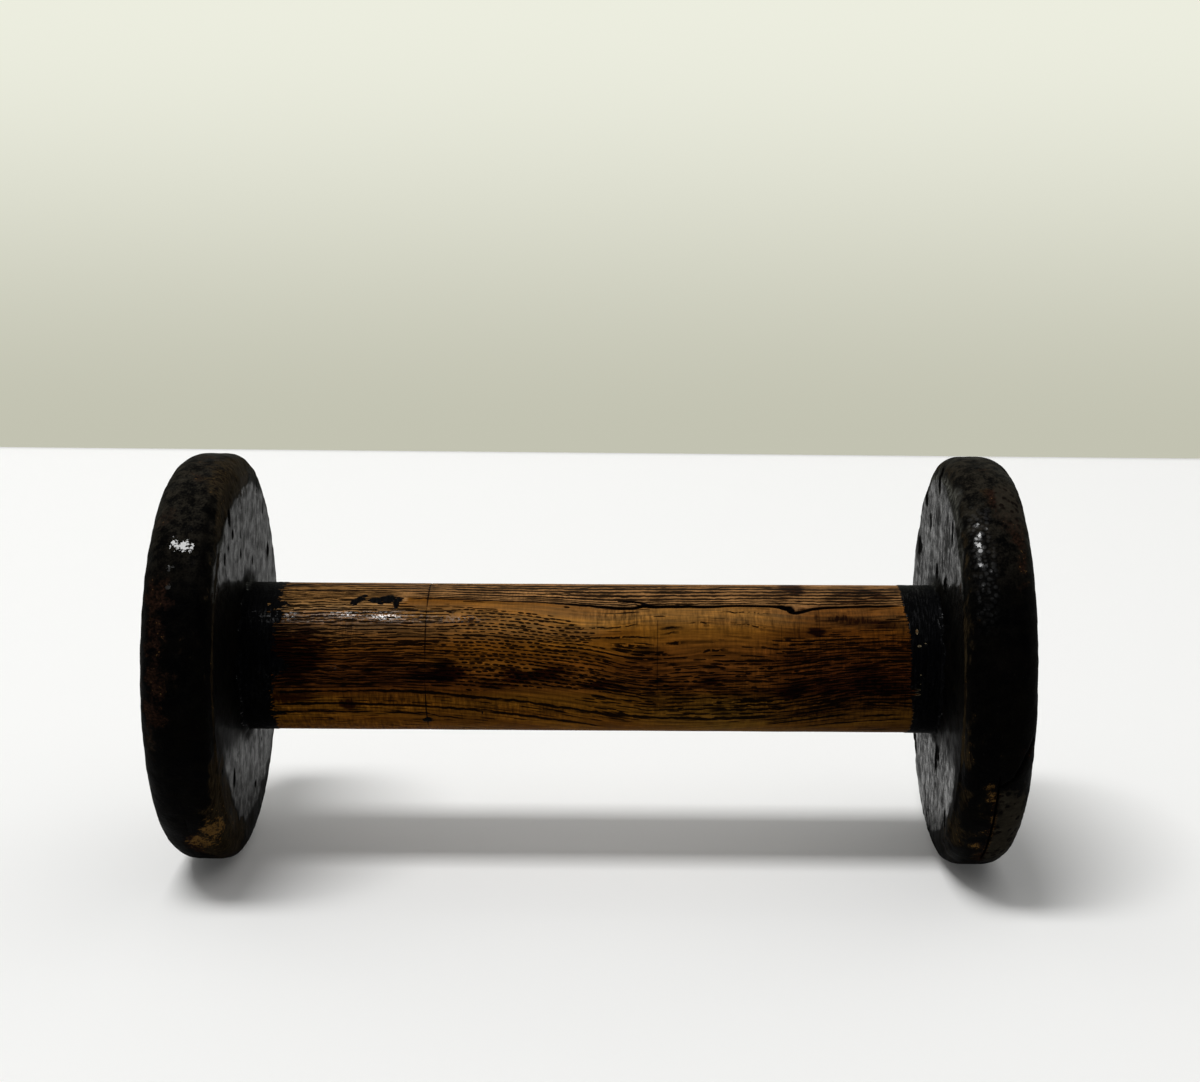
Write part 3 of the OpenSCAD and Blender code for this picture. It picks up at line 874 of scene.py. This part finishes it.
# %% List the rubbed places
rubbed = {
    -1: [
        (1.6, 60, 92, 9, 0.8), (2.4, 61.5, 79, 7, 0.75), (1.0, 59.5, 64, 4.5, 0.75), (0.6, 58.8, 54, 3.2, 0.7),
        (0.4, 58.3, 44, 2.4, 0.65), (6.1, 63.5, 71, 4.5, 0.6), (16.0, 62.7, 54, 5.5, 0.6),
        (14.6, 63.2, 35, 3.6, 0.85), (15.2, 63.1, 28, 4.4, 0.9), (15.6, 62.9, 19, 4.6, 0.9),
        (16.0, 62.7, 9, 4.6, 0.85), (16.2, 62.6, -1, 4.0, 0.75), (18.0, 61.6, -12, 3.0, 0.6),
        (0.9, 59.3, -18, 1.8, 0.7), (1.2, 59.8, -26, 2.6, 0.8), (1.8, 60.5, -33, 3.0, 1.0),
        (3.5, 62.8, -41, 4.2, 1.35), (7.8, 63.5, -47, 4.0, 1.35), (8.2, 63.5, -53, 3.6, 1.1),
        (2.0, 60.8, -52, 4.8, 0.85), (0.2, 56.8, -58, 4.6, 0.8), (0.0, 54.5, -66, 4.4, 0.8),
        (0.0, 56.0, -83, 5.0, 0.75), (4.5, 63.1, -62, 4.6, 0.8)],
    1: [
        (12.0, 63.5, 79, 4.0, 0.6), (13.8, 63.4, 63, 4.5, 0.7), (15.8, 62.8, 66, 5.0, 0.75),
        (16.8, 62.4, 58, 5.0, 0.8), (16.4, 62.6, 51, 3.8, 0.85), (17.4, 62.1, 41, 2.6, 0.7),
        (17.6, 62.0, 34, 2.8, 0.6), (1.2, 60.7, -13, 2.2, 0.8), (1.2, 60.7, -25, 3.2, 0.85),
        (8.0, 63.5, -19.5, 1.7, 1.15), (9.6, 63.5, -24, 1.4, 1.3), (6.9, 63.5, -46, 1.4, 1.35),
        (4.6, 63.2, -40, 2.6, 0.7), (1.5, 60.2, -48, 3.5, 0.7), (15.4, 63.0, -26, 5.0, 1.1),
        (16.4, 62.6, -34, 6.5, 1.15), (16.0, 62.7, -43, 6.5, 1.15), (15.6, 62.9, -52, 6.0, 1.0),
        (15.5, 62.9, -62, 5.0, 0.8)],
}
rub_line = {-1: (46, -16, 1.0), 1: (30, -20, 0.8)}
film_edge = {
    # degrees round, and how far out from the axis the grey film on the yarn side reaches there, in mm
    -1: ([-180, -140, -110, -63, -50, -30, -14, 2, 20, 42, 52, 66, 80, 112, 133, 150, 180],
         [56, 55, 50, 51, 48.7, 48.6, 50, 57, 58.5, 59, 58, 55, 54.5, 53, 56, 57, 56]),
    1: ([-180, -130, -76, -36, -25, -5, 37, 47, 68, 94, 116, 150, 180],
        [56, 60, 54, 53, 51, 55, 57.3, 59, 61, 58, 56, 57, 56]),
}
chipped = {
    # chips in that film: mm to the back, mm up, half width and half height
    -1: [
        (40.4, 25.3, 2.4, 2.4), (-6.9, 34, 1.2, 1.6), (-32.6, 38.1, 1.6, 2.0), (-19.7, 42.7, 1.8, 1.6),
        (-24, 49, 1.8, 3.0), (12, 28, 1.2, 1.0), (-30, -31, 1.5, 3.0), (5, -44, 1.5, 1.0)],
    1: [
        (4.2, 56.5, 2.4, 4.5), (42, 27.7, 4.5, 3.0), (48, 36, 4.0, 5.0), (30, 46, 3.0, 3.0),
        (-14.5, 27, 3.5, 3.5), (2.7, 28, 3.0, 2.5), (-12, -27, 4.0, 3.0), (-9, -30, 2.5, 4.0),
        (38, -40, 4.0, 5.0), (-30, -42, 2.0, 3.0), (20, 40, 2.0, 3.0), (-25, 45, 1.5, 4.0)],
}
glossy = {
    # mm in from the yarn side, degrees round and reach in mm
    -1: [
        (9.6, 44.5, 2.0), (12.2, 45.5, 1.6), (7.4, 44, 1.3), (12.6, 38, 1.1), (12.8, 33, 1.0), (8, 170, 3),
        (12, -140, 3)],
    1: [(5.4, 50, 0.9), (4.6, 46.5, 0.9), (5.6, 40, 1.0), (5.0, 33, 0.8), (10, 160, 3), (6, -120, 3)],
}
print("rubbed places:", {side: len(found) for side, found in rubbed.items()})

# %% [markdown]
# A board starts as its plain turned section. For each point the first helper says where it
# is on the flange: u is mm in from the yarn side, r mm from the axis, and then the angle
# round. The two flanges draw their noise from different seeds, so they aren't alike.

# %% Lay out a board
def lay_out(side, section):
    """Points and normals of a plain board, and the u, r and angle of each point."""
    flat = np.array(section)
    flat = np.stack([side * (face_x + flat[:, 0]), flat[:, 1]], 1)
    if side < 0:
        flat = flat[::-1]
    points, out = spin(flat, flange_columns)
    u = np.abs(points[..., 0]) - face_x
    r = np.hypot(points[..., 1], points[..., 2])
    return points, out, u, r, np.broadcast_to(flange_columns[None, :], u.shape)


def noise_of(side, points):
    shift = 40 if side > 0 else 0
    return lambda size, seed: lumps(points, size, seed + shift)


def blob(side, points, u, r, degrees, reach):
    """Soft ball of this reach in mm round a place on a flange."""
    a = math.radians(degrees)
    mid = np.array([side * (face_x + u), -r * math.cos(a), r * math.sin(a)])
    return np.exp(-((points - mid) ** 2).sum(-1) / reach ** 2)


print("boards laid out")

# %% [markdown]
# Wear is worked out before the relief, because rubbed paint is also thinner paint. Most of
# it follows the rounded edges and the list above. The outer face has a ring of it round the
# tenon and thin arcs, from lying against other bobbins, and dust has settled on top.

# %% Wear a board
def wear(side, inner, points, u, r, angle):
    """Marks of wear on a board, the grey film on its yarn side, and its rounded edge."""
    noise = noise_of(side, points)
    rim = soft(r, rim_r - 7, rim_r - 2)
    corner_u = inner_round * 0.3 if inner else thick - outer_round * 0.3
    edge = np.exp(-((u - corner_u) / 2.2) ** 2) * rim
    unseen = 1 - window(angle, -80, 105, 12)
    worn = 0.30 * noise(9, 41) + 0.22 * noise(3.4, 42) + 0.12 * noise(1.5, 43)
    worn = worn + edge * (0.12 + 0.34 * unseen) - 0.06
    gilt, gloss = np.zeros_like(u), np.zeros_like(u)
    for at_u, at_r, degrees, reach, much in rubbed[side]:
        rub = blob(side, points, at_u, at_r, degrees, 1.3 * reach)
        worn = worn + 0.72 * much * rub
        gilt = np.maximum(gilt, rub * (much > 1.1))
    for at_u, degrees, reach in glossy[side]:
        gloss = np.maximum(gloss, blob(side, points, at_u, rim_r, degrees, reach))
    film_r = np.interp(angle, *film_edge[side]) + 1.6 * noise(5, 57) + 0.8 * noise(2, 58)
    film = soft(r, film_r + 0.9, film_r - 0.9) * soft(r, barrel_r + 2.5, barrel_r + 6 + 2.5 * noise(6, 59))
    # painted shade and reflection: the film is cleared from the front of the yarn face at barrel height, where the
    # barrel shades it and is mirrored in it
    film = film * (1 - 0.9 * window(points[..., 2], -22, 23, 4) * soft(points[..., 1], 8, -8))
    dust = soft(np.sin(np.radians(angle)), 0.45, 0.95) * rim
    if inner:
        bared = soft(r, film_r - 0.5, film_r + 1.5) * soft(u, 3.0, 1.0)
        along_edge = 0.1 + 0.45 * window(angle, 44, 112, 7) + 0.65 * window(angle, -72, -14, 6)
        worn = worn + bared * (along_edge if side < 0 else 0.3)
        top, low, much = rub_line[side]
        line = np.exp(-((r - (rim_r - inner_round + 0.5)) / 0.6) ** 2) * (u < 1.2)
        worn = worn + much * line * window(angle, low, top, 5)
    else:
        arcs = noise_of(side, np.stack([r, angle * 0.5, r * 0], -1))((0.9, 22, 1), 60)
        ring = 0.55 * np.exp(-((r - 23) / 4.5) ** 2)
        worn = worn + (ring + 0.5 * soft(arcs, 0.55, 0.9)) * (u > thick - 0.3)
    if side > 0:
        aged = window(angle, -75, -17, 5) * soft(u, board, board + 1)
        aged = np.maximum(aged, 0.85 * window(angle, 54, 90, 6) * soft(u, 10.9, 12.5))
    else:
        aged = soft(noise(22, 44), 0.0, 0.6) * 0.5
        dust = dust * (1 - 0.85 * np.exp(-((u - 3.6) / 1.3) ** 2) * window(angle, 35, 80, 8))
    return dict(worn=worn, gilt=gilt, gloss=gloss, aged=aged, dust=dust, rim=rim), film, edge


print("wear ready")

# %% [markdown]
# The gap between the boards is mostly filled with paint and stands open only here and
# there. On the right flange it is open low on the front, and from there the outer board has
# split to its outside. Both are returned as a dark mark; the gap also as the amount by which
# the eased lip is filled up.

# %% Open the gap and the split
def open_gap(side, points, u, r, angle):
    gap = np.exp(-((u - board) / 0.40) ** 2) * (r > rim_r - 3)
    opened = soft(lumps(points * (0, 1, 1), 11, 53), 0.25, 0.7) * 0.55
    if side > 0:
        opened = np.maximum(opened * (1 - window(angle, -62, 70, 5)), window(angle, -58, -18, 4))
    return gap * opened, (rim_r - r) * (1 - opened) - 0.5 * gap * opened


split_run = np.array([
    # degrees round and mm in from the yarn side
    (-24, 10.7), (-20.6, 11.4), (-18.6, 13.6), (-17.6, 15.4), (-15.6, 16.3),
    (-12.6, 17.8), (-9.6, 19.6), (-7.4, 20.7), (-5.0, 21.4)])


def split_board(points, u, angle, rim):
    across_split = u - np.interp(angle, *split_run.T) - 0.25 * lumps(points, 1.8, 54)
    return np.exp(-np.abs(across_split / 0.42) ** 1.5) * window(angle, -20.6, -5.5, 0.8) * rim


print("split runs over", np.ptp(split_run[:, 1]), "mm")

# %% [markdown]
# The relief of a board has five layers, from broad to fine: an out-of-round wobble, lumps
# in the thick paint, ridges where the grain lifts under it, slits in the yarn-side face,
# and knocks on the rim. Last, the outer face is kept clear of the nail heads, and paint is
# heaped in the corner against the barrel.

# %% Carve a board
nail_circle_r, nail_room = 42, 5.2


def carve_board(side, section, inner):
    """Carved points and the marks for the finish, for one board of one flange."""
    points, out, u, r, angle = lay_out(side, section)
    y, z = points[..., 1], points[..., 2]
    noise = noise_of(side, points)
    marks, film, edge = wear(side, inner, points, u, r, angle)
    cleft, filled = open_gap(side, points, u, r, angle)
    rim, bare = marks["rim"], soft(marks["worn"], 0.35, 0.7)
    on_face = (1 - rim) * (1 if inner else 0.5)

    lifted = np.array((1.1, 2.6, 3.6) if inner else (1.1, 24.0, 1.5))
    ridge = noise(lifted, 45) * 0.5 + noise(lifted * 0.5, 46) * 0.5
    slits = soft(noise((30.0, 1.2, 9.0) if inner else (30.0, 9.0, 1.2), 47), 0.86, 0.97) * (1 - rim)
    tarry = window(angle, 24, 58, 6) * window(u, 2.6, 9.0, 1.2) * rim * (side > 0)
    bumpy = 0.10 * noise(5.0, 48) + 0.09 * noise(2.2, 49) + tarry * 0.16 * noise(1.25, 50)
    wobble = 0.22 * noise(34, 51) * rim
    knocks = soft(noise(6.5, 52), 0.45, 0.85) * rim * (0.35 + 0.6 * edge)
    chips = np.zeros_like(u)
    for at_y, at_z, half_y, half_z in chipped[side] if inner else []:
        chips = np.maximum(chips, np.exp(-((y - at_y) / half_y) ** 2 - ((z - at_z) / half_z) ** 2))
    chips = soft(chips + 0.25 * noise(1.6, 61), 0.35, 0.6) * (u < 2)
    height = wobble + bumpy * (1 - 0.6 * bare) - 0.12 * bare - 0.55 * knocks - 0.35 * chips
    height = height + (ridge * (0.13 if side > 0 else 0.09) - 0.45 * slits) * on_face

    if inner:
        eased = rim_r - inner_round
        furrow = soft(r, eased + 0.1, eased + 1.1) * soft(r, eased + 4.6, eased + 1.6) * (u < board / 2)
        heaped = soft(r, barrel_r + 2.6 + 1.4 * lumps(points, 4, 56), barrel_r) * (u < 1)
        height = height - 0.42 * furrow + 0.8 * (1 + lumps(points, 4, 55)) * heaped
        height = np.where(r < barrel_r - 0.5, 0, height)
        shown = u < board - 0.45
    else:
        if side > 0:
            gash = split_board(points, u, angle, rim)
            height = height - 1.1 * gash
            cleft = np.maximum(cleft, gash)
        outside = u > thick - 0.2
        for a in np.radians(range(0, 360, 60)):
            off = np.hypot(y - nail_circle_r * math.cos(a), z - nail_circle_r * math.sin(a))
            height = np.where((off < nail_room) & outside, -0.30 * soft(off, nail_room, 3.9), height)
        height = np.where(outside & (r < 20), height * 0.4 - 0.05, height)
        shown = u > board + 0.45

    lip = (np.abs(u - board) < ease + 0.01) & (r > rim_r - 1)
    carved = points + out * np.where(shown & (r > hole_r + 0.2) & ~lip, height, 0)[..., None]
    spoke = points * (0, 1, 1) / np.maximum(r, 1e-6)[..., None]
    carved = carved + spoke * np.where(lip, wobble + bumpy + filled, 0)[..., None]
    dark_slits = 0.8 * slits * ((1 - rim) if inner else 0.5)
    film_share = 1.1 - 0.3 * soft(z, -20, 20) if side > 0 else 0.43
    marks.update(cleft=np.maximum(np.maximum(cleft, 0.9 * chips), dark_slits), tarry=tarry,
                 face=np.where(inner & (u < 3), film * film_share, 0.0))
    return carved, marks


print("carver ready")

# %% [markdown]
# The flange paint is nearly black and has gone from glossy to dull in patches. Where it is
# rubbed through, brown wood shows, and where hands have polished that wood it is golden.
# The paint keeps the run of the grain beneath it, upright on the yarn side and level on the
# outside, so the finish is made twice with a different grain direction.

# %% Mix the flange paint
def flange_finish(name, fine_grain, long_grain):
    finish, shader, place = new_finish(name)
    streaks = place.clouds(fine_grain, 3.0)
    grit = place.clouds(1.1, 3.0)
    fine = place.clouds(0.45)
    patchy = place.clouds(3.2, 4.0)
    broad = place.clouds(13)
    cleft, face, aged, gloss, tarry = [mark(place, key) for key in ("cleft", "face", "aged", "gloss", "tarry")]

    bare = (mark(place, "worn") + (patchy - 0.5) * 1.25 + (fine - 0.5) * 0.35 + (streaks - 0.5) * 0.4).rise(0.34, 0.80)
    gold = mark(place, "gilt") + (patchy - 0.5) * 1.4 + (grit - 0.5) * 2.8 + (fine - 0.5) * 1.6
    gold = gold.rise(0.62, 0.88) * (1 - aged)
    paint = blend(broad.rise(0.35, 0.7), (0.0004, 0.0004, 0.0005), (0.0014, 0.0012, 0.0010))
    settled = (mark(place, "dust") * 0.9 + 0.06) * (patchy * 0.62 + place.clouds(0.6, 3.0) * 0.38).rise(0.41, 0.64)
    paint = blend(settled, paint, (0.0215, 0.0185, 0.0132))
    along_axis = split(place)[0]
    outward = (along_axis.maths("ABSOLUTE") - face_x).rise(6, 11)
    timber = blend(outward, (0.036, 0.0255, 0.0125), (0.025, 0.0115, 0.0072))
    timber = blend(streaks.rise(0.3, 0.7), (0.0045, 0.0025, 0.0014), timber)
    sound = (place.specks(2.4) + (grit - 0.5) * 0.5).rise(0.30, 0.46)
    olive = blend(sound, (0.0024, 0.0022, 0.0019), (0.028, 0.0245, 0.0175)) * (0.5 + grit)
    timber = blend(aged * 0.9, timber, olive)
    timber = blend(gold, timber, (0.165, 0.088, 0.026)) * (0.35 + place.clouds(long_grain))
    colour = blend(bare * 0.94, paint, timber)
    clots = place.clouds((1.7, 1.7, 2.4), 3.0)
    evener = (1 - along_axis.rise(-2, 2)) * 0.12
    lifted = (clots * 0.58 + place.clouds((10, 10, 14)) * 0.42 + (fine - 0.5) * 0.25 + evener).rise(0.37, 0.63)
    lifted = lifted * (0.45 + place.clouds((3.0, 6.0, 4.0), 3.0).rise(0.32, 0.68))
    colour = blend(face * lifted * 0.9, colour, (0.0045, 0.0045, 0.0042))
    colour = blend(cleft.rise(0.25, 0.7), colour, (0.0007, 0.0006, 0.0006))

    dull = broad.rise(0.38, 0.60)
    beads = place.clouds(0.9)
    knobs = 1 - place.specks(1.5)
    wet = (gloss + (beads - 0.5) * 2.6).rise(0.56, 0.68) * gloss.rise(0.05, 0.2)
    shine = wet * 0.85 + face * (0.03 + lifted * 0.42) + (1 - dull) * grit.rise(0.58, 0.72) * 0.02
    shine = shine + tarry * (0.05 + knobs.rise(0.45, 0.7) * 0.45)
    height = grit * 0.16 + fine * 0.07 + streaks * 0.08 + clots * face * 0.35 + tarry * knobs * 1.5
    fill(shader, {
        "Base Color": colour,
        "Roughness": 0.46 + dull * 0.16 + grit * 0.12 + bare * 0.12 + cleft * 0.25,
        "Coat Weight": (shine - bare * 0.3 - cleft).most(0.0),
        "Specular IOR Level": 0.008, "Coat Roughness": 0.18,
    }, height + gloss * beads * 0.8 - bare * 0.06 - cleft * 0.15)
    return finish


upright_paint = flange_finish("flange_paint_upright", (0.9, 0.55, 7.0), (3.0, 2.0, 34.0))
level_paint = flange_finish("flange_paint_level", (0.9, 7.0, 0.55), (3.0, 34.0, 2.0))
print("flange paint mixed")

# %% [markdown]
# The four boards are made by one loop: for each side an inner board with upright grain and
# an outer one with level grain, in the places of the plain boards of the CAD model.

# %% Turn the four boards
for side, word in ((-1, "left"), (1, "right")):
    for inner, section, part, paint in ((True, inner_section, "inner", upright_paint),
                                        (False, outer_section, "outer", level_paint)):
        carved, marks = carve_board(side, section, inner)
        piece = turned_piece(f"{word}_{part}_board", carved, marks, paint)
        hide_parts(f"{word}_flange_{part}_ply")

# %% [markdown]
# The bush, the nails and the wedges are right as the CAD model has them, so only their
# finish is new. The bush is oiled steel, with fine rings from turning and the spindle, and
# brown where oil has dried. The rings come from noise that changes with the distance from
# the axis and the place along it, and not round it.

# %% Finish the steel bushes
bush_steel, steel_shader, place = new_finish("bush_steel")
x, y, z = split(place)
from_axis = (y * y + z * z).maths("SQRT")
turned_rings = joined(x * 3, from_axis * 6, 0.0).clouds(1, 3.0)
dried_oil = (place.clouds(5, 3.0) + (turned_rings - 0.5) * 0.3).rise(0.47, 0.66)
steel = blend(turned_rings.rise(0.3, 0.7), (0.20, 0.19, 0.18), (0.36, 0.35, 0.335))
fill(steel_shader, {
    "Base Color": blend(dried_oil, steel, (0.040, 0.022, 0.011)),
    "Metallic": 1 - dried_oil * 0.85,
    "Roughness": 0.28 + turned_rings * 0.14 + dried_oil * 0.35,
}, turned_rings * 0.03 + dried_oil * 0.02)


def dress(node, finish):
    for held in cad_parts[node].material_slots:
        held.material = finish


for word in ("left", "right"):
    dress(f"{word}_bush", bush_steel)
print("bushes finished")

# %% [markdown]
# The nail heads are hammered iron, rusted brown and black, with paint left round their
# edges. The wedges are a paler wood cut along the grain, seen at their driven ends, bruised
# by the hammer and grey with oil.

# %% Finish the nails and the wedges
nail_iron, iron_shader, place = new_finish("nail_iron")
rust = place.clouds(1.8, 4.0)
pits = place.specks(0.7)
iron = blend(rust.rise(0.35, 0.65), (0.020, 0.018, 0.017), (0.075, 0.030, 0.012))
fill(iron_shader, {
    "Base Color": blend(1 - pits.rise(0.1, 0.3), iron, (0.008, 0.006, 0.005)),
    "Metallic": 0.75 - rust.rise(0.35, 0.65) * 0.65,
    "Roughness": 0.45 + rust * 0.4,
}, rust * 0.2 + pits * 0.08)

wedge_wood, wedge_shader, place = new_finish("wedge_wood")
tubes = place.specks((6.0, 0.35, 0.45))
bands = place.clouds((20, 0.9, 5), 3.0)
grime = place.clouds(3, 3.0)
pale = blend(bands.rise(0.35, 0.65), (0.165, 0.098, 0.042), (0.095, 0.050, 0.020))
pale = blend(1 - tubes.rise(0.14, 0.3), pale, (0.022, 0.011, 0.005))
fill(wedge_shader, {
    "Base Color": blend(grime.rise(0.4, 0.7) * 0.75, pale, (0.020, 0.014, 0.009)),
    "Roughness": 0.55 + grime * 0.25,
}, tubes * 0.12 + bands * 0.1 + grime * 0.15)

for word in ("left", "right"):
    dress(f"{word}_flange_nails", nail_iron)
    for height_word in ("upper", "lower"):
        dress(f"{word}_{height_word}_wedge", wedge_wood)
print("nails and wedges finished")
